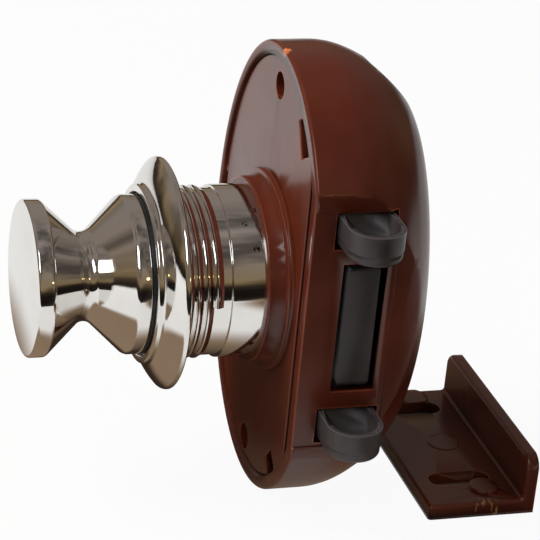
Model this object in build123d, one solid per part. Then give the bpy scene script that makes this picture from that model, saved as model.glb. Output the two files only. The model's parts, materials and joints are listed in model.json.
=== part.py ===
from build123d import *
import math
import os

# Cabinet push lock with its keeper, in millimetres.
# The knob's axis is Y and the knob points to -Y. The case's front rim lies in y = 0.
# The latch side is +X, +Z is up, and the keeper lies on the surface that the case stands on.

# Case: an oval moulding with a domed back and one flat side
case_half_width = 26.0
case_half_height = 34.75
case_depth = 18.5
dome_radius = 13.0
dome_tip_share = 0.95
case_wall = 1.6
rim_round = 0.5
bezel_width = 2.05
plate_ledge = 0.8

# Latch side of the case, with its rim beside the cover plate's straight edge
rim_and_channel = 4.45
latch_side_corner = 2.4
latch_side_lean = 6.0
latch_field_recess = 0.15
latch_field_top = 18.2
latch_field_bottom = -18.8
latch_field_back = 12.85
rim_shelf_y = 0.9
rim_shelf_thickness = 2.3
rim_wall = 2.1
rim_slot_spans = [(-4.8, 2.3), (-9.4, -5.6)]
rim_slot_width = 1.5

# Windows in the latch side, as low and high corners in Y and Z
window_gap_y = 0.35
window_gap_z = 0.45
bar_window_gap_y = 0.9
bar_window_gap_z = 0.8

# Screw holes through case and plate, by their X and their distance from the case's end
upper_screw = (-0.9, 6.15)
lower_screw = (-2.4, 4.95)
screw_hole_radius = 2.05
screw_head_radius = 4.2
screw_head_floor_y = 8.5
screw_boss_wall = 1.2

# Cover plate
plate_front_y = 0.4
plate_thickness = 1.8
plate_margin = 1.5
plate_gap = 0.12
plate_edge_round = 0.25
collar_wall = 1.1
collar_front_y = -3.2
collar_foot_step = 1.15
collar_foot_y = -0.6
collar_edge_round = 0.35
side_notch_span = (-4.5, 5.8)
side_notch_depth = 1.3
clip_notch_from_corner = 10.1
clip_notch_inset = 2.0
clip_notch_turn = -61.0
clip_notch_length = 5.4
clip_notch_width = 3.6
key_notch_from_corner = 14.5
key_notch_inset = 1.15
key_notch_turn = -130.0
key_notch_length = 3.4
key_notch_width = 4.2
notch_tongue_y = 1.0

# Sleeve and rosette
sleeve_radius = 12.75
sleeve_wall = 0.75
sleeve_reach = 18.3
sleeve_plain_end_y = -8.1
thread_relief_y = -9.2
thread_pitch = 1.4
thread_depth = 0.4
thread_front_flank = 0.35
thread_crest = 0.25
thread_back_flank = 0.7
sleeve_flange_width = 2.75
sleeve_flange_front_y = 1.4
sleeve_flange_thickness = 2.6
press_gap = 0.02
rosette_lip = 0.9
rosette_bead_height = 0.45
rosette_bead_length = 0.9
rosette_bead_round = 0.4
rosette_rim_height = 4.35
rosette_rim_thickness = 0.8
rosette_rim_round = 0.3
rosette_flare_bulge = 0.4
rosette_length = 4.0

# Push knob
knob_face_step = 0.22
knob_length = 16.5
knob_face_thickness = 2.4
knob_waist_radius = 5.82
knob_waist_from_face = 8.5
knob_waist_round = 2.07
knob_band_overhang = 0.05
knob_band_length = 2.1
knob_edge_round = 0.3
knob_travel = 8.0

# Bush, stud and plunger behind the knob
bush_show = 0.3
bush_ring_gap = 0.35
bush_ring_length = 1.0
bush_running_gap = 0.08
bush_wall = 1.3
bush_web = 1.6
bush_length = 13.0
stud_radius = 2.0
stud_into_knob = 8.5
stud_into_plunger = 7.5
stud_chamfer = 0.4
plunger_radius = 5.0
plunger_shoulder_radius = 7.0
plunger_shoulder_thickness = 1.5
plunger_rear_y = 8.0
plunger_flat_x = -4.2
plunger_boss_radius = 4.0
plunger_rear_round = 0.8
plunger_running_gap = 0.1

# Push-push track in the plunger's flat, measured along Y with the knob out
track_depth = 1.0
track_half_width = 2.0
track_end_round = 1.6
track_tip_gap = 0.6
track_rear_y = 7.0
island_front_y = 0.3
island_rear_y = 4.3
island_shoulder = 1.6
island_half_width = 0.75
island_notch_depth = 0.8

# Wire follower and its leaf
follower_wire_radius = 0.4
follower_pivot_from_back = 1.9
follower_tip_y = 6.0
follower_lane = 1.35
follower_arm_x = -5.4
follower_tip_x = -3.5
follower_leg_length = 3.5
follower_pivot_gap = 0.08
leaf_gap = 0.3
leaf_thickness = 0.3
leaf_half_width = 1.9
leaf_end_round = 0.95
leaf_free_length = 5.5
leaf_hole_radius = 0.9
follower_boss_half_height = 2.6
follower_boss_length = 3.2
follower_boss_wall = 2.2

# Disc and rings that hold the plunger
guide_disc_front_y = 1.9
guide_disc_thickness = 1.2
guide_disc_seat = 1.25
ring_thickness = 0.7
ring_gap = 0.05
ring_groove_depth = 0.7
ring_width = 1.9
ring_mouth_width = 5.0
stop_ring_radius = 6.2
stop_ring_bore = 4.2
stop_ring_thickness = 0.8
stop_ring_mouth = 5.4
seat_gap = 0.1

# Springs
knob_spring_radius = 6.1
knob_spring_wire = 0.4
knob_spring_turns = 6.5
latch_spring_radius = 2.2
latch_spring_wire = 0.28
latch_spring_turns = 9.5
latch_spring_z = 12.8

# Latch slide with its two tongues
tongue_reach = 7.8
tongue_nose_radius = 4.15
tongue_centre_y = 7.85
tongue_upper_span = (12.85, 17.55)
tongue_lower_span = (-17.8, -13.2)
tongue_wall = 0.9
tongue_floor = 1.5
tongue_parting = 1.7
tongue_parting_step = 0.12
tongue_lower_round = 0.8
tongue_scoop_recess = 1.05
slide_front_y = 4.5
slide_rear_y = 11.5
slide_arm_inner_z = 8.0
slide_arm_outer_z = 17.6
slide_arm_length = 15.05
slide_bridge_thickness = 4.45
bar_face_recess = 0.45
bar_half_width = 2.4
bar_centre_y = 8.35
bar_half_height = 9.25
bar_corner_round = 0.6
slide_stop_gap = 0.3
runner_gap = 0.3
runner_width = 1.2
runner_front_x = 11.0
runner_inner_z = 9.2
spring_pocket_radius = 2.8
spring_pocket_depth = 9.0
spring_seat_x = -13.0
spring_seat_thickness = 1.5
spring_seat_half_height = 3.2
spring_pin_radius = 1.7
spring_pin_length = 2.0

# Keeper
keeper_low_x = -18.2
keeper_high_x = 17.9
keeper_front_y = 24.1
keeper_rear_y = 41.1
keeper_base = 2.4
keeper_flange = 1.9
keeper_height = 9.45
keeper_corner = 2.2
keeper_edge_round = 0.6
keeper_fillet = 0.5
keeper_slot_xs = (-12.1, 10.3)
keeper_slot_centre_y = 31.5
keeper_slot_length = 9.8
keeper_slot_width = 3.8
ejector_mark_xs = (-16.0, -0.8)
ejector_mark_y = 33.0
ejector_mark_radius = 2.5
ejector_mark_height = 0.12
flash_centre = (13.6, 34.3)
flash_radius = 2.2
flash_height = 0.45

# Places worked out from the sizes above
sleeve_bore = sleeve_radius - sleeve_wall
collar_radius = sleeve_radius + collar_wall
collar_foot_radius = collar_radius + collar_foot_step
plate_straight_x = collar_foot_radius + plate_margin
plate_rear_y = plate_front_y + plate_thickness
latch_side_x = plate_straight_x + rim_and_channel
latch_wall_inner_x = latch_side_x - case_wall
case_inner_back_y = case_depth - case_wall
screw_places = [(upper_screw[0], case_half_height - upper_screw[1]),
                (lower_screw[0], lower_screw[1] - case_half_height)]
sleeve_flange_radius = sleeve_radius + sleeve_flange_width
guide_disc_radius = sleeve_bore + guide_disc_seat
bush_ring_radius = sleeve_bore - bush_ring_gap
knob_band_radius = bush_ring_radius + knob_band_overhang
knob_face_radius = knob_band_radius - knob_face_step
rosette_front_y = -sleeve_reach - rosette_lip
knob_rear_y = rosette_front_y - bush_show
knob_face_y = knob_rear_y - knob_length
sleeve_flange_rear_y = sleeve_flange_front_y + sleeve_flange_thickness
guide_disc_rear_y = guide_disc_front_y + guide_disc_thickness
retaining_ring_y = guide_disc_rear_y + ring_gap
stop_ring_y = guide_disc_rear_y + seat_gap
bush_web_rear_y = knob_rear_y + bush_web
plunger_shoulder_rear_y = bush_web_rear_y + plunger_shoulder_thickness
tongue_nose_x = latch_side_x + tongue_reach
slide_stop_x = latch_wall_inner_x - slide_stop_gap
slide_arm_rear_x = slide_stop_x - slide_arm_length
slide_bridge_x = slide_stop_x - slide_bridge_thickness
slide_centre_y = (slide_front_y + slide_rear_y) / 2
runner_rear_x = slide_arm_rear_x - tongue_reach + runner_gap
track_front_y = follower_tip_y - knob_travel - follower_wire_radius - track_tip_gap
follower_pivot_y = case_inner_back_y - follower_pivot_from_back
follower_swing = 2 * math.degrees(math.atan(follower_lane / (follower_pivot_y - follower_tip_y)))
floor_z = -case_half_height
cut_margin = 1.0
edge_search_gap = 0.2


def outline(points, rounds=()):
    """A closed flat face through the points. Each round is a corner's number and its radius."""
    face = make_face(Polyline(*points, close=True))
    for number, radius in rounds:
        corner = face.vertices().sort_by_distance(Vector(*points[number], 0))[0]
        face = fillet(corner, radius)
    return face


def turned(points, rounds=()):
    """A body turned about the Y axis from (radius, y) points."""
    return revolve(outline(points, rounds), Axis.Y)


def ring(inner, outer, y0, y1):
    """A plain ring about the Y axis."""
    return turned([(inner, y0), (outer, y0), (outer, y1), (inner, y1)])


def slab(face, y0, y1):
    """A face drawn in X and Z, as a solid from y0 to y1."""
    return extrude(Plane.XZ.offset(-y0) * face, y0 - y1)


def block(x0, x1, y0, y1, z0, z1):
    """A box by its low and high sides."""
    return Pos((x0 + x1) / 2, (y0 + y1) / 2, (z0 + z1) / 2) * Box(x1 - x0, y1 - y0, z1 - z0)


def rod_y(radius, x, z, y0, y1):
    """A cylinder along Y at the given X and Z."""
    return slab(Pos(x, z) * Circle(radius), y0, y1)


def rod_x(radius, y, z, x0, x1):
    """A cylinder along X at the given Y and Z."""
    return Pos(x0, y, z) * extrude(Plane.YZ * Circle(radius), x1 - x0)


def turned_box(centre, turn, length, width, y0, y1):
    """A box from y0 to y1 whose length is turned from the X axis, in the X and Z plane."""
    return slab(Pos(*centre) * Rot(0, 0, turn) * Rectangle(length, width), y0, y1)


def flat_oval(inset, straight_x):
    """The case's oval, smaller all round by the inset and cut straight at an X."""
    oval = Ellipse(case_half_width - inset, case_half_height - inset)
    width = case_half_width + cut_margin
    beyond = Pos(straight_x + width / 2, 0) * Rectangle(width, 2 * case_half_height + cut_margin)
    return oval - beyond


def domed_oval(inset, y0, y1, radius):
    """The oval as a solid with a rounded back edge, no rounder than the oval's own tips."""
    half_width = case_half_width - inset
    half_height = case_half_height - inset
    tip_radius = half_width ** 2 / half_height
    body = slab(Ellipse(half_width, half_height), y0, y1)
    return fillet(body.edges().sort_by(Axis.Y)[-1], min(radius, dome_tip_share * tip_radius))


def above_below(body):
    """A piece and its mirror image below the knob's axis."""
    return body + mirror(body, Plane.XY)


def coil(radius, wire, length, turns):
    """A coil spring along Z, from z = wire to z = length - wire at the wire's centre."""
    rise = length - 2 * wire
    path = Helix(pitch=rise / turns, height=rise, radius=radius)
    start = Plane(origin=path @ 0, z_dir=path % 0)
    return Pos(0, 0, wire) * sweep(start * Circle(wire), path=path, is_frenet=True)


def plate_notch(from_corner, inset, side):
    """A notch's place near the plate's edge, by its angle round the oval from the straight edge."""
    half_width = case_half_width - bezel_width - plate_gap
    half_height = case_half_height - bezel_width - plate_gap
    angle = math.acos(plate_straight_x / half_width) + math.radians(from_corner)
    edge = Vector(half_width * math.cos(angle), half_height * math.sin(angle))
    inward = Vector(-math.cos(angle) / half_width, -math.sin(angle) / half_height).normalized()
    centre = edge + inward * inset
    return centre.X, side * centre.Y


def plate_notches():
    """The clip notch and the key notch: place, turn, length and width."""
    return [(plate_notch(clip_notch_from_corner, clip_notch_inset, 1),
             clip_notch_turn, clip_notch_length, clip_notch_width),
            (plate_notch(key_notch_from_corner, key_notch_inset, -1),
             key_notch_turn, key_notch_length, key_notch_width)]


def window_boxes():
    """The three windows of the latch side."""
    x0 = plate_straight_x
    x1 = latch_side_x + cut_margin
    half_tongue = tongue_nose_radius + window_gap_y
    boxes = []
    for low, high in (tongue_upper_span, tongue_lower_span):
        boxes.append(block(x0, x1, tongue_centre_y - half_tongue, tongue_centre_y + half_tongue,
                           low - window_gap_z, high + window_gap_z))
    half_bar = bar_half_width + bar_window_gap_y
    half_height = bar_half_height + bar_window_gap_z
    boxes.append(block(x0, x1, bar_centre_y - half_bar, bar_centre_y + half_bar,
                       -half_height, half_height))
    return boxes


def case_outside():
    """The case without any hollow: dome, straight latch side and its lean at the back."""
    prism = slab(flat_oval(0, latch_side_x), 0, case_depth)
    corners = [e for e in prism.edges().filter_by(Axis.Y) if e.center().X > 0]
    prism = fillet(corners, latch_side_corner)
    prism = fillet(prism.edges().group_by(Axis.Y)[0], rim_round)
    body = prism & domed_oval(0, 0, case_depth, dome_radius)
    drop = (case_depth - latch_field_back) * math.tan(math.radians(latch_side_lean))
    lean = outline([(latch_side_x, latch_field_back), (latch_side_x - drop, case_depth),
                    (latch_side_x + cut_margin, case_depth)])
    tall = 2 * case_half_height
    body -= Pos(0, 0, -tall / 2) * extrude(lean, tall)
    return body - block(latch_side_x - latch_field_recess, latch_side_x + cut_margin,
                        -cut_margin, latch_field_back, latch_field_bottom, latch_field_top)


def case_hollow():
    """The room inside the case, with the pocket that takes the cover plate."""
    inset = bezel_width + plate_ledge
    shelf_rear_y = rim_shelf_y + rim_shelf_thickness
    room = domed_oval(inset, plate_rear_y, case_inner_back_y, dome_radius - case_wall)
    far = case_half_width + cut_margin
    tall = case_half_height
    room -= block(latch_wall_inner_x, far, 0, case_depth, -tall, tall)
    room -= block(plate_straight_x - plate_ledge, far, 0, shelf_rear_y, -tall, tall)
    pocket = slab(flat_oval(bezel_width, plate_straight_x + plate_gap), 0, plate_rear_y)
    channel = slab(flat_oval(bezel_width, latch_side_x - rim_wall), 0, rim_shelf_y)
    hollow = room + pocket + channel
    for low, high in rim_slot_spans:
        hollow += block(plate_straight_x, plate_straight_x + rim_slot_width,
                        0, shelf_rear_y + cut_margin, low, high)
    return hollow


def case_inner_parts():
    """Screw bosses, slide runners, spring seats, follower boss and plate tongues."""
    parts = []
    for x, z in screw_places:
        parts.append(rod_y(screw_head_radius + screw_boss_wall, x, z, plate_rear_y, case_depth))
    for side in (1, -1):
        for z in (runner_inner_z, slide_arm_outer_z - runner_width):
            low, high = sorted((side * z, side * (z + runner_width)))
            parts.append(block(runner_rear_x, runner_front_x, slide_rear_y + runner_gap,
                               case_depth, low, high))
        low, high = sorted((side * (slide_arm_outer_z + runner_gap),
                            side * (slide_arm_outer_z + runner_gap + runner_width)))
        parts.append(block(runner_rear_x, runner_front_x, slide_centre_y, case_depth, low, high))
        z = side * latch_spring_z
        parts.append(block(spring_seat_x - spring_seat_thickness, spring_seat_x, slide_front_y,
                           case_depth, z - spring_seat_half_height, z + spring_seat_half_height))
        parts.append(rod_x(spring_pin_radius, slide_centre_y, z,
                           spring_seat_x, spring_seat_x + spring_pin_length))
    boss_x = follower_arm_x - follower_wire_radius - leaf_gap - leaf_thickness
    parts.append(block(boss_x - follower_boss_length, boss_x,
                       follower_pivot_y - follower_boss_wall, case_depth,
                       -follower_boss_half_height, follower_boss_half_height))
    for centre, turn, length, width in plate_notches():
        outer_half = Pos(*centre) * Rot(0, 0, turn) * Pos(0, width / 4)
        parts.append(slab(outer_half * Rectangle(length - 2 * plate_gap, width / 2),
                          notch_tongue_y, rim_shelf_y + rim_shelf_thickness))
    return parts


def make_case():
    outside = case_outside()
    case = outside - case_hollow()
    inner = case_inner_parts()
    case += (inner[0] + inner[1:]) & outside
    boss_x = follower_arm_x - follower_wire_radius - leaf_gap - leaf_thickness
    case -= rod_x(follower_wire_radius + follower_pivot_gap, follower_pivot_y, 0,
                  boss_x - follower_boss_length, boss_x + cut_margin)
    for box in window_boxes():
        case -= box
    for x, z in screw_places:
        case -= rod_y(screw_head_radius, x, z, screw_head_floor_y, case_depth + cut_margin)
        case -= rod_y(screw_hole_radius, x, z, 0, case_depth)
    return case


def make_cover_plate():
    plate = slab(flat_oval(bezel_width + plate_gap, plate_straight_x), plate_front_y, plate_rear_y)
    plate -= block(-case_half_width, -case_half_width + bezel_width + side_notch_depth,
                   0, case_depth, *side_notch_span)
    for centre, turn, length, width in plate_notches():
        plate -= turned_box(centre, turn, length, width, 0, case_depth)
    plate = fillet(plate.edges().group_by(Axis.Y)[0], plate_edge_round)
    plate += turned(
        [(0, collar_front_y), (collar_radius, collar_front_y), (collar_radius, collar_foot_y),
         (collar_foot_radius, collar_foot_y), (collar_foot_radius, plate_rear_y), (0, plate_rear_y)],
        [(1, collar_edge_round), (3, collar_edge_round)])
    for side in (1, -1):
        low, high = sorted((side * (slide_arm_outer_z - runner_width), side * slide_arm_outer_z))
        plate += block(runner_rear_x, runner_front_x, plate_front_y + plate_edge_round,
                       slide_front_y - runner_gap, low, high)
    plate -= rod_y(sleeve_radius + press_gap, 0, 0, collar_front_y - cut_margin, case_depth)
    plate -= rod_y(sleeve_flange_radius + press_gap, 0, 0, sleeve_flange_front_y, case_depth)
    for x, z in screw_places:
        plate -= rod_y(screw_hole_radius, x, z, 0, case_depth)
    return plate


def make_sleeve():
    root = sleeve_radius - thread_depth
    points = [(sleeve_bore, -sleeve_reach), (root, -sleeve_reach)]
    turns = int((sleeve_reach + thread_relief_y) / thread_pitch)
    for turn in range(turns, 0, -1):
        rise = thread_relief_y - turn * thread_pitch
        crest = rise + thread_front_flank
        points += [(root, rise), (sleeve_radius, crest), (sleeve_radius, crest + thread_crest),
                   (root, crest + thread_crest + thread_back_flank)]
    points += [(root, sleeve_plain_end_y), (sleeve_radius, sleeve_plain_end_y),
               (sleeve_radius, sleeve_flange_front_y),
               (sleeve_flange_radius, sleeve_flange_front_y),
               (sleeve_flange_radius, sleeve_flange_rear_y),
               (guide_disc_radius + ring_gap, sleeve_flange_rear_y),
               (guide_disc_radius + ring_gap, retaining_ring_y + ring_thickness + ring_gap),
               (guide_disc_radius + ring_groove_depth, retaining_ring_y + ring_thickness + ring_gap),
               (guide_disc_radius + ring_groove_depth, retaining_ring_y - ring_gap),
               (guide_disc_radius + ring_gap, retaining_ring_y - ring_gap),
               (guide_disc_radius + ring_gap, guide_disc_front_y),
               (sleeve_bore, guide_disc_front_y)]
    return turned(points)


def make_rosette():
    front = rosette_front_y
    rear = front + rosette_length
    rim_front = rear - rosette_rim_thickness
    bead_end = front + rosette_bead_length
    bead_radius = sleeve_radius + rosette_bead_height
    rim_radius = sleeve_radius + rosette_rim_height
    seat = sleeve_radius + press_gap
    face = outline([(sleeve_bore, front), (bead_radius, front), (bead_radius, bead_end),
                    (rim_radius, rim_front), (rim_radius, rear), (seat, rear),
                    (seat, -sleeve_reach), (sleeve_bore, -sleeve_reach)],
                   [(1, rosette_bead_round)])
    bulge = Vector(rim_front - bead_end, bead_radius - rim_radius).normalized() * rosette_flare_bulge
    middle = Vector((bead_radius + rim_radius) / 2, (bead_end + rim_front) / 2) + bulge
    flare = ThreePointArc((bead_radius, bead_end), (middle.X, middle.Y), (rim_radius, rim_front))
    chord = Line((rim_radius, rim_front), (bead_radius, bead_end))
    face += make_face([flare, chord])
    for corner in face.vertices().group_by(Axis.X)[-1]:
        face = fillet(face.vertices().sort_by_distance(corner)[0], rosette_rim_round)
    return revolve(face, Axis.Y)


def make_knob():
    face_back = knob_face_y + knob_face_thickness
    waist_y = knob_face_y + knob_waist_from_face
    band_front = knob_rear_y - knob_band_length
    knob = turned(
        [(0, knob_face_y), (knob_face_radius, knob_face_y), (knob_face_radius, face_back),
         (knob_waist_radius, waist_y), (knob_band_radius, band_front),
         (knob_band_radius, knob_rear_y), (0, knob_rear_y)],
        [(1, knob_edge_round), (2, knob_edge_round), (3, knob_waist_round),
         (4, knob_edge_round)])
    return knob - rod_y(stud_radius, 0, 0, knob_rear_y - stud_into_knob, knob_rear_y + cut_margin)


def make_knob_bush():
    outer = sleeve_bore - bush_running_gap
    inner = outer - bush_wall
    neck_y = knob_rear_y + bush_ring_length
    rear = knob_rear_y + bush_length
    return turned([(plunger_boss_radius, knob_rear_y), (bush_ring_radius, knob_rear_y),
                   (bush_ring_radius, neck_y), (outer, neck_y), (outer, rear), (inner, rear),
                   (inner, bush_web_rear_y), (plunger_boss_radius, bush_web_rear_y)])


def make_knob_stud():
    stud = rod_y(stud_radius, 0, 0, knob_rear_y - stud_into_knob, knob_rear_y + stud_into_plunger)
    return chamfer(stud.edges(), stud_chamfer)


def track_pocket():
    """The heart-shaped track: a pocket round an island whose front is notched for the follower."""
    length = track_rear_y - track_front_y
    middle = (track_front_y + track_rear_y) / 2
    pocket = Pos(middle, 0) * RectangleRounded(length, 2 * track_half_width, track_end_round)
    shoulder_y = island_front_y + island_shoulder
    island = outline([(island_front_y + island_notch_depth, 0), (island_front_y, island_half_width),
                      (shoulder_y, island_half_width), (island_rear_y, 0),
                      (shoulder_y, -island_half_width), (island_front_y, -island_half_width)])
    face = Plane(origin=(plunger_flat_x, 0, 0), x_dir=(0, 1, 0), z_dir=(1, 0, 0)) * (pocket - island)
    return extrude(face, track_depth)


def make_plunger():
    shoulder_y = bush_web_rear_y
    plunger = turned([(0, knob_rear_y), (plunger_boss_radius, knob_rear_y),
                      (plunger_boss_radius, shoulder_y), (plunger_shoulder_radius, shoulder_y),
                      (plunger_shoulder_radius, plunger_shoulder_rear_y),
                      (plunger_radius, plunger_shoulder_rear_y),
                      (plunger_radius, plunger_rear_y), (0, plunger_rear_y)],
                     [(6, plunger_rear_round)])
    plunger -= block(-plunger_shoulder_radius, plunger_flat_x, plunger_shoulder_rear_y,
                     plunger_rear_y + cut_margin, -plunger_radius, plunger_radius)
    plunger -= track_pocket()
    plunger -= ring(stop_ring_bore, plunger_shoulder_radius, stop_ring_y - ring_gap,
                    stop_ring_y + stop_ring_thickness + ring_gap)
    return plunger - rod_y(stud_radius, 0, 0, knob_rear_y - cut_margin,
                           knob_rear_y + stud_into_plunger)


def make_guide_disc():
    disc = ring(plunger_radius + plunger_running_gap, guide_disc_radius,
                guide_disc_front_y, guide_disc_rear_y)
    key = block(-plunger_radius - cut_margin, plunger_flat_x - plunger_running_gap,
                guide_disc_front_y, guide_disc_rear_y, -plunger_radius, plunger_radius)
    return disc + key


def make_retaining_ring():
    outer = guide_disc_radius + ring_groove_depth - ring_gap
    body = ring(outer - ring_width, outer, retaining_ring_y, retaining_ring_y + ring_thickness)
    return body - block(-ring_mouth_width / 2, ring_mouth_width / 2, 0, case_depth,
                        0, outer + cut_margin)


def make_stop_ring():
    body = ring(stop_ring_bore + ring_gap, stop_ring_radius,
                stop_ring_y, stop_ring_y + stop_ring_thickness)
    return body - block(-stop_ring_radius - cut_margin, 0, 0, case_depth,
                        -stop_ring_mouth / 2, stop_ring_mouth / 2)


def make_knob_spring():
    length = guide_disc_front_y - plunger_shoulder_rear_y - seat_gap
    spring = coil(knob_spring_radius, knob_spring_wire, length, knob_spring_turns)
    return Pos(0, plunger_shoulder_rear_y + seat_gap / 2, 0) * Rot(-90, 0, 0) * spring


def make_latch_spring(side):
    start = spring_seat_x + seat_gap / 2
    length = slide_arm_rear_x + spring_pocket_depth - spring_seat_x - seat_gap
    spring = coil(latch_spring_radius, latch_spring_wire, length, latch_spring_turns)
    return Pos(start, slide_centre_y, side * latch_spring_z) * Rot(0, 90, 0) * spring


def make_cam_follower():
    """One bent wire: a pivot leg, an arm to the track and a short tip in it."""
    wire = follower_wire_radius
    arm = (follower_arm_x, follower_tip_y, -follower_lane)
    bend = (follower_arm_x, follower_pivot_y, 0)
    length = math.dist(arm, bend)
    along = Plane(origin=bend, z_dir=Vector(*arm) - Vector(*bend))
    follower = extrude(along * Circle(wire), length)
    follower += rod_x(wire, follower_pivot_y, 0, follower_arm_x - follower_leg_length, follower_arm_x)
    follower += rod_x(wire, follower_tip_y, -follower_lane, follower_arm_x, follower_tip_x)
    return follower + Pos(*arm) * Sphere(wire) + Pos(*bend) * Sphere(wire)


def make_follower_leaf():
    x1 = follower_arm_x - follower_wire_radius - leaf_gap
    x0 = x1 - leaf_thickness
    rear = case_inner_back_y - seat_gap
    leaf = block(x0, x1, follower_pivot_y - leaf_free_length, rear,
                 -leaf_half_width, leaf_half_width)
    leaf = fillet(leaf.edges().filter_by(Axis.X).group_by(Axis.Y)[0], leaf_end_round)
    return leaf - rod_x(leaf_hole_radius, follower_pivot_y, 0, x0 - cut_margin, x1 + cut_margin)


def tongue(low, high):
    """One tongue: a nose that is round in plan, hollowed from above, with a parting step."""
    straight = tongue_nose_x - tongue_nose_radius
    split = low + tongue_parting

    def plan(shrink):
        radius = tongue_nose_radius - shrink
        nose = Pos(straight, tongue_centre_y) * Circle(radius)
        root = Pos((slide_stop_x + straight) / 2, tongue_centre_y) * Rectangle(
            straight - slide_stop_x, 2 * radius)
        return nose + root

    lower = extrude(Pos(0, 0, low) * plan(tongue_parting_step), tongue_parting)
    under = lower.faces().sort_by(Axis.Z)[0].edges()
    lower = fillet([e for e in under if e.center().X > slide_stop_x + cut_margin],
                   tongue_lower_round)
    body = lower + extrude(Pos(0, 0, split) * plan(0), high - split)
    scoop = extrude(Pos(0, 0, low + tongue_floor) * plan(tongue_wall), high - low)
    scoop_rear_x = latch_side_x - tongue_scoop_recess
    return body - (scoop - block(0, scoop_rear_x, 0, case_depth, low, high + tongue_floor))


def make_latch_slide():
    arm = block(slide_arm_rear_x, slide_stop_x, slide_front_y, slide_rear_y,
                slide_arm_inner_z, slide_arm_outer_z)
    arm -= rod_x(spring_pocket_radius, slide_centre_y, latch_spring_z,
                 slide_arm_rear_x - cut_margin, slide_arm_rear_x + spring_pocket_depth)
    slide = above_below(arm)
    slide += block(slide_bridge_x, slide_stop_x, slide_front_y, slide_rear_y,
                   -slide_arm_inner_z, slide_arm_inner_z)
    panel = Pos(bar_centre_y, 0) * RectangleRounded(2 * bar_half_width, 2 * bar_half_height,
                                                    bar_corner_round)
    bar_face_x = latch_side_x - bar_face_recess
    slide += extrude(Plane.YZ.offset(slide_bridge_x) * panel, bar_face_x - slide_bridge_x)
    slide += tongue(*tongue_upper_span)
    return slide + tongue(*tongue_lower_span)


def make_keeper():
    z_base = floor_z + keeper_base
    z_top = floor_z + keeper_height
    length = keeper_high_x - keeper_low_x
    section = outline(
        [(keeper_front_y, floor_z), (keeper_rear_y, floor_z), (keeper_rear_y, z_top),
         (keeper_rear_y - keeper_flange, z_top), (keeper_rear_y - keeper_flange, z_base),
         (keeper_front_y, z_base)], [(4, keeper_fillet)])
    keeper = extrude(Plane.YZ.offset(keeper_low_x) * section, length)
    tall = [e for e in keeper.edges().filter_by(Axis.Y) if e.center().Z > z_top - keeper_edge_round]
    keeper = fillet(tall, keeper_corner)
    uprights = [e for e in keeper.edges().filter_by(Axis.Z)
                if e.center().Y < keeper_front_y + keeper_edge_round]
    keeper = fillet(uprights, keeper_edge_round)
    front_top = [e for e in keeper.edges().group_by(Axis.Z)[-1] + keeper.edges().filter_by(Axis.X)
                 if e.center().Z > z_base - keeper_edge_round
                 and (e.center().Y < keeper_front_y + keeper_edge_round
                      or abs(e.center().Y - keeper_rear_y + keeper_flange) < edge_search_gap
                      and e.center().Z > z_top - keeper_corner)]
    keeper = fillet(ShapeList(front_top), keeper_edge_round)
    for x in ejector_mark_xs:
        mark = Pos(x, ejector_mark_y, z_base) * Circle(ejector_mark_radius)
        keeper += extrude(mark, ejector_mark_height) & block(
            keeper_low_x, keeper_high_x, keeper_front_y, keeper_rear_y, z_base, z_top)
    for x in keeper_slot_xs:
        hole = Pos(x, keeper_slot_centre_y, floor_z - cut_margin) * Rot(0, 0, 90)
        keeper -= extrude(hole * SlotOverall(keeper_slot_length, keeper_slot_width),
                          keeper_base + 2 * cut_margin)
    flash = Pos(*flash_centre, z_base) * Circle(flash_radius)
    return keeper + extrude(flash, flash_height)


parts = {
    "case": make_case(),
    "cover_plate": make_cover_plate(),
    "sleeve": make_sleeve(),
    "rosette": make_rosette(),
    "guide_disc": make_guide_disc(),
    "retaining_ring": make_retaining_ring(),
    "knob": make_knob(),
    "knob_bush": make_knob_bush(),
    "knob_stud": make_knob_stud(),
    "plunger": make_plunger(),
    "stop_ring": make_stop_ring(),
    "knob_spring": make_knob_spring(),
    "cam_follower": make_cam_follower(),
    "follower_leaf": make_follower_leaf(),
    "latch_slide": make_latch_slide(),
    "latch_spring_upper": make_latch_spring(1),
    "latch_spring_lower": make_latch_spring(-1),
    "keeper": make_keeper(),
}

os.makedirs("parts", exist_ok=True)
for name, solid in parts.items():
    export_step(solid, "parts/" + name + ".step")
print("follower swing, degrees:", round(follower_swing, 2))
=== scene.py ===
# %% [markdown]
# A cabinet push lock on white paper.
# The lock has a brown moulded case with a cover plate, a chrome push knob on a threaded sleeve,
# two grey tongues at its side, and a small angled keeper that lies behind it.
# The measured solids come in first. They carry the motion, and every piece below is fitted to them.

# %% Load the frame
import bmesh
import bpy
import json
import math
from mathutils import Matrix, Vector

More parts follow.
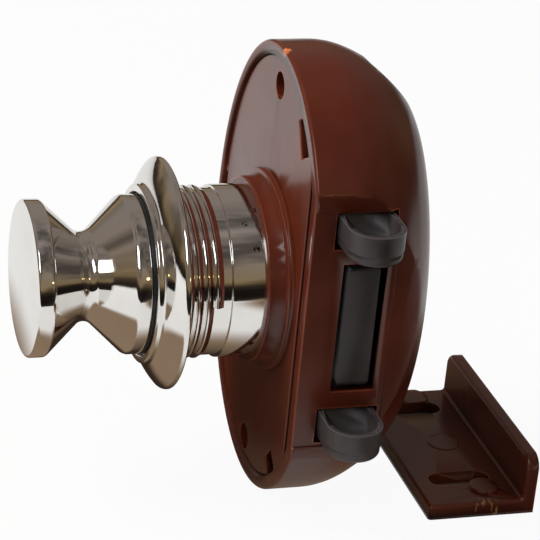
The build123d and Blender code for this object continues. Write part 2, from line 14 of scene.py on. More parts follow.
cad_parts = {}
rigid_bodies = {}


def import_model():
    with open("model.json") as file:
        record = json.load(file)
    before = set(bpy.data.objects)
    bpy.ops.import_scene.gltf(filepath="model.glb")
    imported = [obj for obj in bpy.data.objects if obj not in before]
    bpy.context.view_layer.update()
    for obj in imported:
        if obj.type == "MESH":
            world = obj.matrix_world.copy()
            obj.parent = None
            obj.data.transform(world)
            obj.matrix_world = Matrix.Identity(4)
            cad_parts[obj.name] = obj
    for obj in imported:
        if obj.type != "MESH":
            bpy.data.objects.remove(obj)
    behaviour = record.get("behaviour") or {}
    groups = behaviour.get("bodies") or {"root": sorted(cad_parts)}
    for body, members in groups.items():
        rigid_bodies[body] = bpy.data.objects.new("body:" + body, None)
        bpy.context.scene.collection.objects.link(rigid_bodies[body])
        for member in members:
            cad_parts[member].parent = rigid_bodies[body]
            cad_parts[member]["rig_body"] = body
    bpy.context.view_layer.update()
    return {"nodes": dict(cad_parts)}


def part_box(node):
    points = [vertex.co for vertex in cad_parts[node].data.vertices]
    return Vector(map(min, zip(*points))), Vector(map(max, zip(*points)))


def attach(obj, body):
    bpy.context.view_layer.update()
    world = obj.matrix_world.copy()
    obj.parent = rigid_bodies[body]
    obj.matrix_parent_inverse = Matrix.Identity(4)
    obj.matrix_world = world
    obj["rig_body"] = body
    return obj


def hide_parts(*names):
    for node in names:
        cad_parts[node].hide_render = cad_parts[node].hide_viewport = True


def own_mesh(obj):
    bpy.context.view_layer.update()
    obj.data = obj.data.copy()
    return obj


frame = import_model()
MM = 0.001
WELD = 0.001 * MM

# %% [markdown]
# Stations along the knob's axis. The axis is Y, and the knob points to -Y, so the front of a piece
# has the lower Y. Reading them from the solids keeps each new piece in its seat.
# Only what a box can't tell, such as the waist of the knob, is a value of its own.

# %% Stations read from the solids, in millimetres


def stations(node):
    """The front and rear Y of a solid and its largest radius about the knob's axis."""
    low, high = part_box(node)
    return low.y / MM, high.y / MM, high.x / MM


knob_front, knob_rear, knob_band = stations("knob")
rosette_front, rosette_rear, rosette_rim = stations("rosette")
sleeve_front, sleeve_rear, sleeve_flange = stations("sleeve")
bush_front, bush_rear, bush_radius = stations("knob_bush")
floor_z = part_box("case")[0].z
print("knob from", round(knob_front, 2), "to", round(knob_rear, 2), "radius", round(knob_band, 2))

# %% [markdown]
# Every piece ends the same way: the mesh is shaded smooth up to an angle, given its finish,
# tied to the body that carries it, and its solid is hidden. One helper does this each time.
# Smooth shading alone would smear a wide flat face into the small round beside it, so the pieces
# that come from the solids also get normals weighted by the area of their faces.

# %% Helpers that finish a piece


def add_piece(bm, name, node, material, sharp_degrees=30):
    """Turn a bmesh into a finished piece that rides where its solid rides."""
    mesh = bpy.data.meshes.new(name)
    bm.to_mesh(mesh)
    bm.free()
    mesh.shade_smooth()
    mesh.set_sharp_from_angle(angle=math.radians(sharp_degrees))
    mesh.materials.append(material)
    piece = bpy.data.objects.new(name, mesh)
    bpy.context.scene.collection.objects.link(piece)
    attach(piece, frame["nodes"][node]["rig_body"])
    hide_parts(node)
    print(name, "has", len(mesh.polygons), "faces")
    return piece


def dressed_copy(name, node, material, sharp_degrees=30):
    """A welded copy of a solid, with smooth rounds and flat flats."""
    bm = bmesh.new()
    bm.from_mesh(frame["nodes"][node].data)
    bmesh.ops.remove_doubles(bm, verts=bm.verts, dist=WELD)
    piece = add_piece(bm, name, node, material, sharp_degrees)
    even = piece.modifiers.new("even_normals", "WEIGHTED_NORMAL")
    even.keep_sharp = True
    even.weight = 100
    return piece


# %% [markdown]
# A finish is a small network of nodes. Object coordinates are metres on the real piece, so a
# pattern's scale is a real size: a noise of scale 1000 has features about a millimetre wide.
# The first helper adds a node, sets its values and joins its inputs in one call. It serves the room
# as well. The second one adds what only a material needs.

# %% Helpers for finishes


class Nodes:
    """Short ways to add and join the nodes of one tree."""

    def __init__(self, tree):
        self.tree = tree

    def add(self, kind, inputs=None, **settings):
        """A new node with its settings. Inputs hold values, or sockets to join."""
        node = self.tree.nodes.new(kind)
        for name, value in settings.items():
            setattr(node, name, value)
        for key, value in (inputs or {}).items():
            if isinstance(value, bpy.types.NodeSocket):
                self.tree.links.new(value, node.inputs[key])
            else:
                node.inputs[key].default_value = value
        return node

    def remap(self, value, low, high, to_low=0.0, to_high=1.0, **settings):
        node = self.add("ShaderNodeMapRange", {"Value": value, "From Min": low, "From Max": high,
                                               "To Min": to_low, "To Max": to_high}, **settings)
        return node.outputs["Result"]

    def math(self, operation, first, second=0.0):
        return self.add("ShaderNodeMath", {0: first, 1: second}, operation=operation).outputs[0]

    def mix(self, factor, first, second, **settings):
        node = self.add("ShaderNodeMix", {"Factor": factor, "A": first, "B": second},
                        data_type="RGBA", **settings)
        return node.outputs["Result"]


class Finish(Nodes):
    """A material with its shader."""

    def __init__(self, name, **values):
        self.material = bpy.data.materials.new(name)
        self.material.use_nodes = True
        super().__init__(self.material.node_tree)
        self.shader = self.tree.nodes["Principled BSDF"]
        for socket, value in values.items():
            self.shader.inputs[socket.replace("_", " ")].default_value = value
        self.place = self.add("ShaderNodeTexCoord").outputs["Object"]

    def to_shader(self, socket, value):
        self.tree.links.new(value, self.shader.inputs[socket])

    def show(self, node):
        """Make a node the surface, in place of the plain shader."""
        self.tree.links.new(node.outputs[0], self.tree.nodes["Material Output"].inputs["Surface"])

    def noise(self, scale, detail=2.0, place=None):
        node = self.add("ShaderNodeTexNoise", {"Vector": place or self.place, "Scale": scale,
                                               "Detail": detail})
        return node.outputs["Fac"]

    def stretched(self, scales):
        """Object coordinates scaled along each axis, for streaks."""
        return self.add("ShaderNodeMapping", {"Vector": self.place, "Scale": scales}).outputs[0]

    def edges(self, radius, low=0.006, high=0.12):
        """1 on the edges of the piece and 0 on its faces."""
        rounded = self.add("ShaderNodeBevel", {"Radius": radius}, samples=6).outputs[0]
        face = self.add("ShaderNodeNewGeometry").outputs["Normal"]
        alike = self.add("ShaderNodeVectorMath", {0: rounded, 1: face}, operation="DOT_PRODUCT")
        bend = self.math("SUBTRACT", 1.0, alike.outputs["Value"])
        return self.remap(bend, low, high)

    def openness(self, reach):
        """1 on open faces and 0 deep in gaps, holes and corners."""
        node = self.add("ShaderNodeAmbientOcclusion", {"Distance": reach}, samples=8)
        return self.remap(node.outputs["AO"], 0.25, 0.85)

    def spot(self, centre, radius, soft=0.35):
        """1 inside a ball round a point in millimetres, and 0 outside."""
        point = tuple(v * MM for v in centre)
        away = self.add("ShaderNodeVectorMath", {0: self.place, 1: point}, operation="DISTANCE")
        return self.remap(away.outputs["Value"], radius * MM, radius * (1 - soft) * MM)

    def bump(self, height, strength, distance):
        node = self.add("ShaderNodeBump", {"Height": height, "Strength": strength,
                                           "Distance": distance})
        self.to_shader("Normal", node.outputs["Normal"])


# %% [markdown]
# The case, the plate and the keeper are one reddish brown moulding compound. Real mouldings are
# never one flat colour: the pigment drifts a little, and the gloss has a faint unevenness from the
# mould. Every edge is lightened towards orange, a painted highlight where thin rims catch the light.
# Gaps and holes are darker, as little light comes out of them. Dust is scattered, and scars and
# scuffs are spots at real places.

# %% Brown moulded plastic
BROWN_DEEP = (0.066, 0.0112, 0.0050, 1)
BROWN_WARM = (0.092, 0.0168, 0.0070, 1)
BROWN_EDGE_HIGHLIGHT = (0.27, 0.060, 0.018, 1)
BROWN_SHADE = (0.018, 0.0030, 0.0015, 1)
BROWN_SCAR = (0.52, 0.16, 0.05, 1)
SCUFF_PALE = (0.30, 0.14, 0.05, 1)


def brown_plastic(name, scars=(), scuffs=None):
    finish = Finish(name, IOR=1.5)
    drift = finish.remap(finish.noise(55, 3), 0.35, 0.65)
    colour = finish.mix(drift, BROWN_DEEP, BROWN_WARM)
    # Painted highlight: every edge is lightened towards orange.
    colour = finish.mix(finish.math("MULTIPLY", finish.edges(0.45 * MM), 0.85), colour, BROWN_EDGE_HIGHLIGHT)
    open_face = finish.openness(3.0 * MM)
    colour = finish.mix(open_face, BROWN_SHADE, colour)
    finish.to_shader("Specular IOR Level", finish.remap(open_face, 0.0, 1.0, 0.1, 0.5))
    for centre, radius in scars:
        ragged = finish.math("MULTIPLY", finish.spot(centre, radius),
                             finish.remap(finish.noise(1600, 4), 0.40, 0.55))
        colour = finish.mix(ragged, colour, BROWN_SCAR)
    if scuffs:
        rows = finish.remap(finish.noise(1500, 3, finish.stretched((1.0, 1.0, 0.3))), 0.56, 0.66)
        worn = finish.math("MULTIPLY", rows, finish.spot(*scuffs))
        colour = finish.mix(worn, colour, SCUFF_PALE)
    dust = finish.add("ShaderNodeTexVoronoi", {"Vector": finish.place, "Scale": 260.0})
    specks = finish.remap(dust.outputs["Distance"], 0.055, 0.03)
    colour = finish.mix(finish.math("MULTIPLY", specks, 0.6), colour, BROWN_DEEP)
    finish.to_shader("Base Color", colour)
    finish.to_shader("Roughness", finish.remap(finish.noise(120, 2), 0.3, 0.7, 0.21, 0.27))
    grain = finish.math("MULTIPLY", finish.noise(2200), 0.02)
    ripple = finish.math("ADD", finish.noise(45, 1), grain)
    finish.bump(ripple, 0.25, 0.05 * MM)
    return finish.material


rim_chip = ((1.0, 0.1, 34.6), 1.0)
keeper_scuffs = ((17.9, 33.6, -33.8), 2.6)
case_brown = brown_plastic("case_brown", scars=[rim_chip])
plate_brown = brown_plastic("plate_brown")
keeper_brown = brown_plastic("keeper_brown", scuffs=keeper_scuffs)

# %% [markdown]
# The tongues are a dark grey nylon with a satin skin. It is duller than the case, and every edge
# is drawn lighter. Fine drag lines run the way the tongues slide.

# %% Grey and black plastics
GREY_DEEP = (0.023, 0.0178, 0.0185, 1)
GREY_WARM = (0.036, 0.0290, 0.0300, 1)
GREY_EDGE = (0.12, 0.11, 0.115, 1)
NICK_DARK = (0.008, 0.008, 0.009, 1)
BLACK_DEEP = (0.006, 0.006, 0.006, 1)
BLACK_WORN = (0.02, 0.02, 0.021, 1)


def grey_plastic(name, nicked):
    finish = Finish(name, IOR=1.5)
    drift = finish.remap(finish.noise(160, 4), 0.35, 0.65)
    colour = finish.mix(drift, GREY_DEEP, GREY_WARM)
    colour = finish.mix(finish.math("MULTIPLY", finish.edges(0.35 * MM), 0.7), colour, GREY_EDGE)
    nicks = finish.remap(finish.noise(1500, 3, finish.stretched((0.35, 0.35, 1.6))), 0.64, 0.70)
    colour = finish.mix(finish.math("MULTIPLY", nicks, finish.spot(*nicked)), colour, NICK_DARK)
    finish.to_shader("Base Color", colour)
    finish.to_shader("Roughness", finish.remap(finish.noise(500, 3), 0.3, 0.7, 0.36, 0.5))
    drag = finish.noise(1400, 3, finish.stretched((0.08, 1.0, 1.0)))
    finish.bump(drag, 0.25, 0.05 * MM)
    return finish.material


def black_plastic(name):
    finish = Finish(name, IOR=1.5)
    colour = finish.mix(finish.noise(300, 3), BLACK_DEEP, BLACK_WORN)
    finish.to_shader("Base Color", colour)
    finish.to_shader("Roughness", finish.remap(finish.noise(700), 0.3, 0.7, 0.3, 0.5))
    return finish.material


lower_tongue_nicks = ((28.0, 8.5, -16.0), 2.6)
tongue_grey = grey_plastic("tongue_grey", lower_tongue_nicks)
bush_black = black_plastic("bush_black")

# %% [markdown]
# Chrome plating mirrors the room, so most of its look comes from what stands round it. Its own
# detail is the lathe: rings of tiny lines at constant distance along the turned outline, which
# smear each reflection, and a few pits where the plating has failed. The rings follow the sum of
# the height along the axis and the radius, so flat faces have them too.

# %% Turned chrome and plain steel
CHROME = (0.83, 0.82, 0.80, 1)
CHROME_DULL = (0.66, 0.63, 0.59, 1)
STEEL = (0.52, 0.51, 0.50, 1)
STEEL_DULL = (0.36, 0.34, 0.32, 1)
PIT_DARK = (0.05, 0.03, 0.025, 1)


def turned_metal(name, bright, dull, roughness, line_depth, pits=()):
    finish = Finish(name, Metallic=1.0)
    parts = finish.add("ShaderNodeSeparateXYZ", {"Vector": finish.place}).outputs
    flat = finish.add("ShaderNodeCombineXYZ", {"X": parts["X"], "Z": parts["Z"]}).outputs[0]
    radius = finish.add("ShaderNodeVectorMath", {0: flat}, operation="LENGTH").outputs["Value"]
    along = finish.math("ADD", parts["Y"], finish.math("MULTIPLY", radius, 1.37))
    lines = finish.add("ShaderNodeTexNoise", {"W": along, "Scale": 5200.0, "Detail": 3.0},
                       noise_dimensions="1D").outputs["Fac"]
    cloud = finish.remap(finish.noise(130, 4), 0.4, 0.75)
    colour = finish.mix(finish.math("MULTIPLY", cloud, 0.35), bright, dull)
    for centre, size in pits:
        hole = finish.math("MULTIPLY", finish.spot(centre, size),
                           finish.remap(finish.noise(2600, 3), 0.42, 0.52))
        colour = finish.mix(hole, colour, PIT_DARK)
    finish.to_shader("Base Color", colour)
    low, high = roughness
    finish.to_shader("Roughness", finish.remap(finish.math("MULTIPLY", lines, cloud),
                                               0.1, 0.6, low, high))
    finish.bump(lines, line_depth, 0.004 * MM)
    return finish.material


sleeve_pits = [((7.1, -5.6, 10.6), 0.5), ((10.0, -4.4, 7.9), 0.6)]
knob_chrome = turned_metal("knob_chrome", CHROME, CHROME_DULL, (0.05, 0.13), 0.5)
ring_chrome = turned_metal("ring_chrome", CHROME, CHROME_DULL, (0.045, 0.12), 0.35)
sleeve_chrome = turned_metal("sleeve_chrome", CHROME, CHROME_DULL, (0.04, 0.10), 0.3, sleeve_pits)
spring_steel = turned_metal("spring_steel", STEEL, STEEL_DULL, (0.25, 0.4), 0.4)

# %% [markdown]
# The knob, the clamp ring and the sleeve are lathe work, so each is an outline turned about the
# axis. The outline is a few corners joined by edges. A bevel of its corner points gives the small
# rounds a lathe tool leaves, and a full spin that merges its last step with the first closes it.

# %% A helper that turns an outline
TURN_STEPS = 256


def turned(outline, rounds, closed):
    """Spin a section of (radius, y) corners about the Y axis. Rounds map a corner to its size."""
    bm = bmesh.new()
    corners = [bm.verts.new((radius * MM, y * MM, 0)) for radius, y in outline]
    followers = corners[1:] + corners[:1] if closed else corners[1:]
    for first, second in zip(corners, followers):
        bm.edges.new((first, second))
    for number, (size, segments) in rounds.items():
        bmesh.ops.bevel(bm, geom=[corners[number]], offset=size * MM, offset_type="OFFSET",
                        segments=segments, profile=0.5, affect="VERTICES", material=-1)
    bmesh.ops.spin(bm, geom=bm.verts[:] + bm.edges[:], cent=(0, 0, 0), axis=(0, 1, 0),
                   dvec=(0, 0, 0), angle=math.tau, steps=TURN_STEPS, use_merge=True)
    bmesh.ops.remove_doubles(bm, verts=bm.verts, dist=WELD)
    bmesh.ops.recalc_face_normals(bm, faces=bm.faces)
    return bm


# %% [markdown]
# The push knob. A flat face, a rim, then a cone in to the waist and a second cone out to the band.
# The waist is one long round, and every other corner is only just broken.

# %% Push knob
face_radius = knob_band - 0.22
face_back = knob_front + 2.4
waist_y = knob_front + 8.5
waist_radius = 5.82
waist_round = 1.8
band_front = knob_rear - 2.1
band_round = 0.45
corner_break = 0.3

knob_outline = [(0, knob_front), (face_radius, knob_front), (face_radius, face_back),
                (waist_radius, waist_y), (knob_band, band_front), (knob_band, knob_rear),
                (0, knob_rear)]
knob_rounds = {1: (0.45, 6), 2: (corner_break, 5), 3: (waist_round, 20), 4: (band_round, 6),
               5: (corner_break, 5)}
add_piece(turned(knob_outline, knob_rounds, closed=False), "push_knob", "knob", knob_chrome)

# %% [markdown]
# The clamp ring that a fitter screws against the door. Its section has a small bead in front, a
# hollow, and a bulging flare out to a round rim. The flare is one edge cut in two, whose middle
# point stands forward, and a wide bevel of that point bends it.

# %% Clamp ring
sleeve_bore = 12.0
sleeve_outer = 12.75
ring_seat = sleeve_outer + 0.02
bead_radius = sleeve_outer + 0.45
bead_end = rosette_front + 0.9
rim_front = rosette_rear - 0.8
flare_middle = ((bead_radius + rosette_rim) / 2 + 0.02, (bead_end + rim_front) / 2 - 0.36)
flare_bend = 1.5

ring_outline = [(sleeve_bore, rosette_front), (bead_radius, rosette_front),
                (bead_radius, bead_end), flare_middle, (rosette_rim, rim_front),
                (rosette_rim, rosette_rear), (ring_seat, rosette_rear),
                (ring_seat, sleeve_front), (sleeve_bore, sleeve_front)]
ring_rounds = {0: (0.15, 4), 1: (0.4, 8), 2: (0.25, 6), 3: (flare_bend, 14), 4: (0.35, 8),
               5: (0.35, 8)}
add_piece(turned(ring_outline, ring_rounds, closed=True), "clamp_ring", "rosette", ring_chrome)

# %% [markdown]
# The sleeve is a thin tube with a plain stretch near the case and a thread in front. The tube is
# turned as before. The thread is a ridge with a steep front flank and a long back flank. Spun with
# a step forward each time it becomes a true helix, which the solid only hints at with rings.

# %% Sleeve with its thread
thread_depth = 0.4
thread_root = sleeve_outer - thread_depth
thread_pitch = 1.4
thread_turns = 6.0
thread_end = -9.2
plain_front = -8.1
flange_front = 1.4
disc_seat_radius = 13.3
disc_seat_y = 1.9
thread_steps = 96
thread_sink = 0.15
thread_lap = 0.03
crest_break = 0.05
foot_front, foot_rear = 0.05, 1.33
shoulder_front, shoulder_rear = 0.30, 0.66
crest_front, crest_rear = 0.38, 0.56

sleeve_outline = [(sleeve_bore, sleeve_front), (thread_root, sleeve_front),
                  (thread_root, plain_front), (sleeve_outer, plain_front),
                  (sleeve_outer, flange_front), (sleeve_flange, flange_front),
                  (sleeve_flange, sleeve_rear), (disc_seat_radius, sleeve_rear),
                  (disc_seat_radius, disc_seat_y), (sleeve_bore, disc_seat_y)]
sleeve_rounds = {1: (0.12, 3), 2: (0.12, 4), 3: (0.12, 4), 5: (0.2, 4), 6: (0.2, 4)}


def add_thread(bm):
    """A helical ridge on the sleeve, ended by plain caps."""
    front = thread_end - thread_turns * thread_pitch
    deep = thread_root - thread_sink
    shoulder = sleeve_outer - crest_break
    section = [(deep, front + foot_front - thread_lap), (thread_root, front + foot_front),
               (shoulder, front + shoulder_front), (sleeve_outer, front + crest_front),
               (sleeve_outer, front + crest_rear), (shoulder, front + shoulder_rear),
               (thread_root, front + foot_rear), (deep, front + foot_rear + thread_lap)]
    start = [bm.verts.new((radius * MM, y * MM, 0)) for radius, y in section]
    loop = [bm.edges.new(pair) for pair in zip(start, start[1:] + start[:1])]
    steps = int((thread_turns - 1) * thread_steps)
    spun = bmesh.ops.spin(bm, geom=start + loop, cent=(0, 0, 0), axis=(0, 1, 0),
                          dvec=(0, thread_pitch * MM / thread_steps, 0),
                          angle=math.tau * (thread_turns - 1), steps=steps)
    ends = [item for item in spun["geom_last"] if isinstance(item, bmesh.types.BMEdge)]
    bmesh.ops.holes_fill(bm, edges=loop + ends, sides=0)


sleeve_mesh = turned(sleeve_outline, sleeve_rounds, closed=True)
add_thread(sleeve_mesh)
bmesh.ops.recalc_face_normals(sleeve_mesh, faces=sleeve_mesh.faces)
add_piece(sleeve_mesh, "threaded_sleeve", "sleeve", sleeve_chrome)

# %% [markdown]
# The black bush shows as a thin ring between the knob and the clamp ring. It is turned as well.

# %% Bush behind the knob
bush_inner = 4.0
bush_ring = sleeve_bore - 0.35
bush_neck = bush_front + 1.0
bush_wall_inner = bush_radius - 1.3
bush_web_rear = bush_front + 1.6

bush_outline = [(bush_inner, bush_front), (bush_ring, bush_front), (bush_ring, bush_neck),
                (bush_radius, bush_neck), (bush_radius, bush_rear), (bush_wall_inner, bush_rear),
                (bush_wall_inner, bush_web_rear), (bush_inner, bush_web_rear)]
add_piece(turned(bush_outline, {1: (0.12, 4)}, closed=True), "black_bush", "knob_bush", bush_black)

# %% [markdown]
# The mouldings come from the solids. Their outlines, windows, notches and rounds were measured for
# the lock to work, so a welded copy keeps them and gains smooth shading and the brown finish.
# In the picture the dome reaches about two millimetres further back than the solid does, so the
# back of the copy is drawn out. The share grows with its square, which leaves no crease.

# %% Mouldings
dome_from = 10.0
dome_extra = 2.1
case_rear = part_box("case")[1].y / MM


def fuller_dome(point):
    """The back of the dome, drawn out smoothly behind the windows."""
    share = max(0, point.y / MM - dome_from) / (case_rear - dome_from)
    point.y += dome_extra * share ** 2 * MM


case = dressed_copy("case_shell", "case", case_brown)
for vertex in case.data.vertices:
    fuller_dome(vertex.co)
dressed_copy("front_plate", "cover_plate", plate_brown)
dressed_copy("angled_keeper", "keeper", keeper_brown)
dressed_copy("twin_tongues", "latch_slide", tongue_grey)

# %% [markdown]
# The springs are coils of round wire. A small circle spun about the spring's own axis, with a step
# along it each time, is the whole coil.

# %% Springs
COIL_STEPS = 40
WIRE_SIDES = 10
knob_coil_turns = 6.5
knob_coil_wire = 0.4 * MM
tongue_coil_turns = 9.5
tongue_coil_wire = 0.28 * MM


def coil_spring(name, node, axis, turns, wire):
    """A coil in the box of its solid. Axis is 0 for X and 1 for Y."""
    low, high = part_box(node)
    middle = (low + high) / 2
    radius = (high.z - low.z) / 2 - wire
    start = low[axis] + wire
    length = high[axis] - wire - start
    centre = Vector(middle)
    centre[axis] = start
    side = Vector((0, 0, 0))
    side[1 - axis] = radius
    bm = bmesh.new()
    circle = bmesh.ops.create_circle(bm, cap_ends=False, radius=wire, segments=WIRE_SIDES,
                                     matrix=Matrix.Translation(centre + side))
    direction = Vector((0, 0, 0))
    direction[axis] = 1
    steps = int(turns * COIL_STEPS)
    bmesh.ops.spin(bm, geom=circle["verts"] + bm.edges[:], cent=centre, axis=direction,
                   dvec=direction * length / steps, angle=math.tau * turns, steps=steps)
    bmesh.ops.holes_fill(bm, edges=bm.edges, sides=0)
    bmesh.ops.recalc_face_normals(bm, faces=bm.faces)
    piece = add_piece(bm, name, node, spring_steel)
    anchor = Vector(middle)
    anchor[axis] = high[axis] if axis == 1 else low[axis]
    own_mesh(piece)
    return piece


coil_spring("knob_coil", "knob_spring", 1, knob_coil_turns, knob_coil_wire)
coil_spring("upper_tongue_coil", "latch_spring_upper", 0, tongue_coil_turns,
            tongue_coil_wire)
coil_spring("lower_tongue_coil", "latch_spring_lower", 0, tongue_coil_turns,
            tongue_coil_wire)

# %% [markdown]
# What stays out of sight keeps its solid and only takes a finish.

# %% Finishes of the inner parts
inner_steel = ["guide_disc", "retaining_ring", "knob_stud", "stop_ring", "cam_follower",
               "follower_leaf"]
for node in inner_steel:
    frame["nodes"][node].data.materials.clear()
    frame["nodes"][node].data.materials.append(spring_steel)
frame["nodes"]["plunger"].data.materials.clear()
frame["nodes"]["plunger"].data.materials.append(tongue_grey)
print("inner parts finished:", len(inner_steel) + 1)

# %% [markdown]
# The stage. A sheet of white paper lies under the lock. For the camera it is a plain white ground
# that still takes a faint shadow, and for the chrome it is the bright lower half of each reflection.
# It ends a hand's width in front of the lock, which puts the dark line across the chrome.

# %% Paper
PAPER_NEAR_X = 0.135
PAPER_FAR_X = -1.6
PAPER_HALF_Y = 1.1
PAPER_WHITE = (0.56, 0.555, 0.545, 1)
GROUND_GLOW = 0.94
MIRRORED_GLOW = 0.5


def paper_material():
    """White paper that glows a little for the camera and for mirror rays."""
    paper = Finish("paper", Base_Color=PAPER_WHITE, Roughness=0.9)
    path = paper.add("ShaderNodeLightPath").outputs
    mirrored = paper.math("MULTIPLY", path["Is Glossy Ray"], MIRRORED_GLOW)
    share = paper.add("ShaderNodeMath", {0: path["Is Camera Ray"], 1: GROUND_GLOW, 2: mirrored},
                      operation="MULTIPLY_ADD")
    glow = paper.add("ShaderNodeEmission", {"Color": (1, 1, 1, 1)})
    paper.show(paper.add("ShaderNodeMixShader", {"Fac": share.outputs[0],
                                                 1: paper.shader.outputs[0],
                                                 2: glow.outputs[0]}))
    return paper.material


def sheet_on_floor(name, low, high, lift, material):
    """A flat stage card between two corners in X and Y, in metres."""
    bm = bmesh.new()
    bmesh.ops.create_grid(bm, x_segments=1, y_segments=1, size=0.5)
    bmesh.ops.scale(bm, vec=(high[0] - low[0], high[1] - low[1], 1), verts=bm.verts)
    centre = ((low[0] + high[0]) / 2, (low[1] + high[1]) / 2, floor_z + lift)
    bmesh.ops.translate(bm, vec=centre, verts=bm.verts)
    mesh = bpy.data.meshes.new(name)
    bm.to_mesh(mesh)
    bm.free()
    mesh.materials.append(material)
    card = bpy.data.objects.new(name, mesh)
    bpy.context.scene.collection.objects.link(card)
    return card


sheet_on_floor("paper", (PAPER_FAR_X, -PAPER_HALF_Y), (PAPER_NEAR_X, PAPER_HALF_Y), 0,
               paper_material())

# %% [markdown]
# The lock keeps light off the paper round it. Its glossy faces mirror that shade, so the foot of the
# plate, the lower cones and the side of the dome look dark. Soft oval patches make the shade, each
# darkest in its middle and clear at its border. Only mirror rays see them.

# %% Shade round the lock
SHADE_CORE = (0.035, 0.022, 0.015, 1)
SHADE_RIM = (0.27, 0.19, 0.125, 1)
CORE_END, RIM_START = 0.45, 0.95
FADE_START, FADE_END = 0.85, 1.3
CARD_REACH = 1.4


def shade_patch(name, centre, half_size, lift, core):
    """An oval patch of shade on the paper. Centre, half size and lift are in millimetres."""
    low = [(c - CARD_REACH * h) * MM for c, h in zip(centre, half_size)]
    high = [(c + CARD_REACH * h) * MM for c, h in zip(centre, half_size)]
    tint = Finish(name)
    middle = (centre[0] * MM, centre[1] * MM, 0)
    offset = tint.add("ShaderNodeVectorMath", {0: tint.place, 1: middle}, operation="SUBTRACT")
    shares = (1 / (half_size[0] * MM), 1 / (half_size[1] * MM), 0)
    oval = tint.add("ShaderNodeVectorMath", {0: offset.outputs[0], 1: shares},
                    operation="MULTIPLY")
    away = tint.add("ShaderNodeVectorMath", {0: oval.outputs[0]},
                    operation="LENGTH").outputs["Value"]
    tone = tint.mix(tint.remap(away, CORE_END, RIM_START), core, SHADE_RIM)
    glow = tint.add("ShaderNodeEmission", {"Color": tone})
    clear = tint.add("ShaderNodeBsdfTransparent")
    fade = tint.remap(away, FADE_START, FADE_END, interpolation_type="SMOOTHSTEP")
    tint.show(tint.add("ShaderNodeMixShader", {"Fac": fade, 1: glow.outputs[0],
                                               2: clear.outputs[0]}))
    card = sheet_on_floor(name, low, high, lift * MM, tint.material)
    card.visible_camera = False
    card.visible_shadow = False
    card.visible_diffuse = False


shade_patch("shade_under_knob", (-30, -14), (50, 32), 0.2, SHADE_CORE)
shade_patch("shade_before_lock", (100, 46), (58, 36), 0.3, SHADE_CORE)
shade_patch("shade_behind_lock", (2, 46), (46, 36), 0.4, SHADE_CORE)
shade_patch("shade_under_cones", (4, -44), (30, 22), 0.5, SHADE_RIM)

# %% [markdown]
# The room is painted on the world. A ramp on the height of each direction gives the chrome a dark
# table edge, a khaki wall and a dim ceiling, a noise breaks them into the vague things of a room,
# and the far side is a little paler higher up. Only mirror rays see it. Soft light comes evenly
# from all round, and the camera sees plain white.

# %% Room
ROOM_STOPS = [(0.0, (0.02, 0.015, 0.012)), (0.485, (0.018, 0.013, 0.011)),
              (0.525, (0.05, 0.035, 0.022)), (0.56, (0.17, 0.12, 0.065)),
              (0.64, (0.15, 0.115, 0.075)), (0.80, (0.16, 0.13, 0.11)), (1.0, (0.17, 0.145, 0.13))]
FAR_WALL = (0.24, 0.20, 0.175, 1)
FAR_START, FAR_FULL = -0.15, -0.65
WALL_FOOT, WALL_TOP = 0.12, 0.38
CLUTTER_SCALE = 2.4
CLUTTER_NOISE = (0.40, 0.60)
CLUTTER_LIGHT = (0.5, 1.6)
AMBIENT = (0.18, 0.18, 0.18, 1)
WHITE = (1, 1, 1, 1)

world = bpy.data.worlds.new("room")
bpy.context.scene.world = world
world.use_nodes = True
world.node_tree.nodes.clear()
room = Nodes(world.node_tree)
direction = room.add("ShaderNodeTexCoord").outputs["Generated"]
parts = room.add("ShaderNodeSeparateXYZ", {0: direction}).outputs
ramp = room.add("ShaderNodeValToRGB", {0: room.remap(parts["Z"], -1.0, 1.0)})
while len(ramp.color_ramp.elements) < len(ROOM_STOPS):
    ramp.color_ramp.elements.new(0.5)
for element, (position, colour) in zip(ramp.color_ramp.elements, ROOM_STOPS):
    element.position = position
    element.color = (*colour, 1)
clutter = room.add("ShaderNodeTexNoise", {"Vector": direction, "Scale": CLUTTER_SCALE,
                                          "Detail": 3.0})
uneven = room.remap(clutter.outputs["Fac"], *CLUTTER_NOISE, *CLUTTER_LIGHT)
things = room.mix(1.0, ramp.outputs[0], uneven, blend_type="MULTIPLY")
far = room.remap(parts["X"], FAR_START, FAR_FULL)
above = room.remap(parts["Z"], WALL_FOOT, WALL_TOP)
walls = room.mix(room.math("MULTIPLY", far, above), things, FAR_WALL)
path = room.add("ShaderNodeLightPath").outputs
seen = room.mix(path["Is Glossy Ray"], AMBIENT, walls)
shown = room.mix(path["Is Camera Ray"], seen, WHITE)
background = room.add("ShaderNodeBackground", {"Color": shown})
room.add("ShaderNodeOutputWorld", {0: background.outputs[0]})

# %% [markdown]
# Lamps. A tall window stands up and to the left of the camera and draws the white bars on the
# cones. A broad lamp in front of the door side lights the plate and leaves its foot in the knob's
# shade, and a weak one lifts the latch side. A small warm lamp gives the yellow glints.

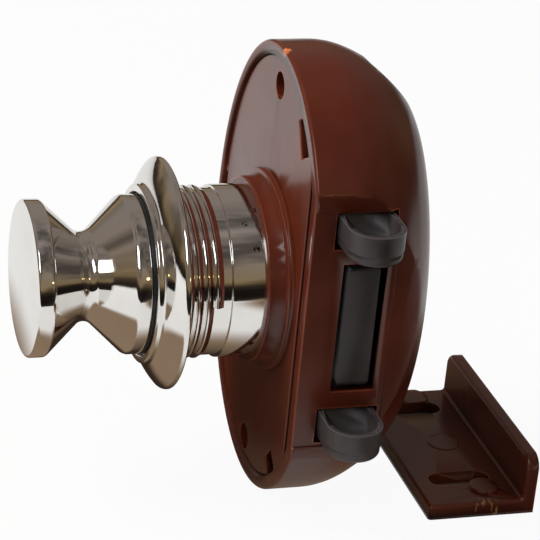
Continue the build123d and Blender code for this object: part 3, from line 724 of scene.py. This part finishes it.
# %% Lamps


def soft_lamp(name, place, size, watts, colour=(1, 1, 1), mirrored=True):
    """A rectangular lamp that faces the lock. Place and size are in metres."""
    data = bpy.data.lights.new(name, "AREA")
    data.shape = "RECTANGLE"
    data.size, data.size_y = size
    data.energy = watts
    data.color = colour
    lamp = bpy.data.objects.new(name, data)
    bpy.context.scene.collection.objects.link(lamp)
    lamp.location = place
    lamp.rotation_euler = (-Vector(place)).to_track_quat("-Z", "Y").to_euler()
    lamp.visible_glossy = mirrored
    return lamp


soft_lamp("window", (0.52, -0.40, 0.62), (0.26, 0.46), 1.8, (0.96, 0.98, 1.0))
soft_lamp("side_lamp", (0.62, 0.46, 0.52), (0.30, 0.30), 0.7, (1.0, 0.97, 0.93), mirrored=False)
soft_lamp("front_lamp", (-0.06, -0.50, 0.62), (0.40, 0.40), 8.5, (1.0, 0.97, 0.93), mirrored=False)
soft_lamp("warm_lamp", (0.74, 0.23, 0.235), (0.05, 0.03), 0.05, (1.0, 0.72, 0.28))

# %% [markdown]
# The camera was fitted to the picture's frame of 540 by 540 pixels from the circles of the knob,
# the ring and the case. A long lens from about 36 centimetres gives the slight perspective.

# %% Camera
camera_place = Vector((311.156, -103.089, 151.499)) * MM
camera_forward = Vector((-0.86046, 0.2885, -0.41997))
camera_right = Vector((0.2782, 0.95656, 0.08712))
focal_pixels = 2435.88
frame_pixels = 540
sensor_mm = 36

camera_up = camera_right.cross(camera_forward)
camera_data = bpy.data.cameras.new("camera")
camera_data.sensor_fit = "HORIZONTAL"
camera_data.sensor_width = sensor_mm
camera_data.lens = focal_pixels / frame_pixels * sensor_mm
camera_data.clip_start = 0.01
camera = bpy.data.objects.new("camera", camera_data)
bpy.context.scene.collection.objects.link(camera)
turn = Matrix((camera_right, camera_up, -camera_forward)).transposed()
camera.matrix_world = Matrix.Translation(camera_place) @ turn.to_4x4()
bpy.context.scene.camera = camera
bpy.context.scene.view_settings.view_transform = "Standard"
print("lens in mm:", round(camera_data.lens, 1))
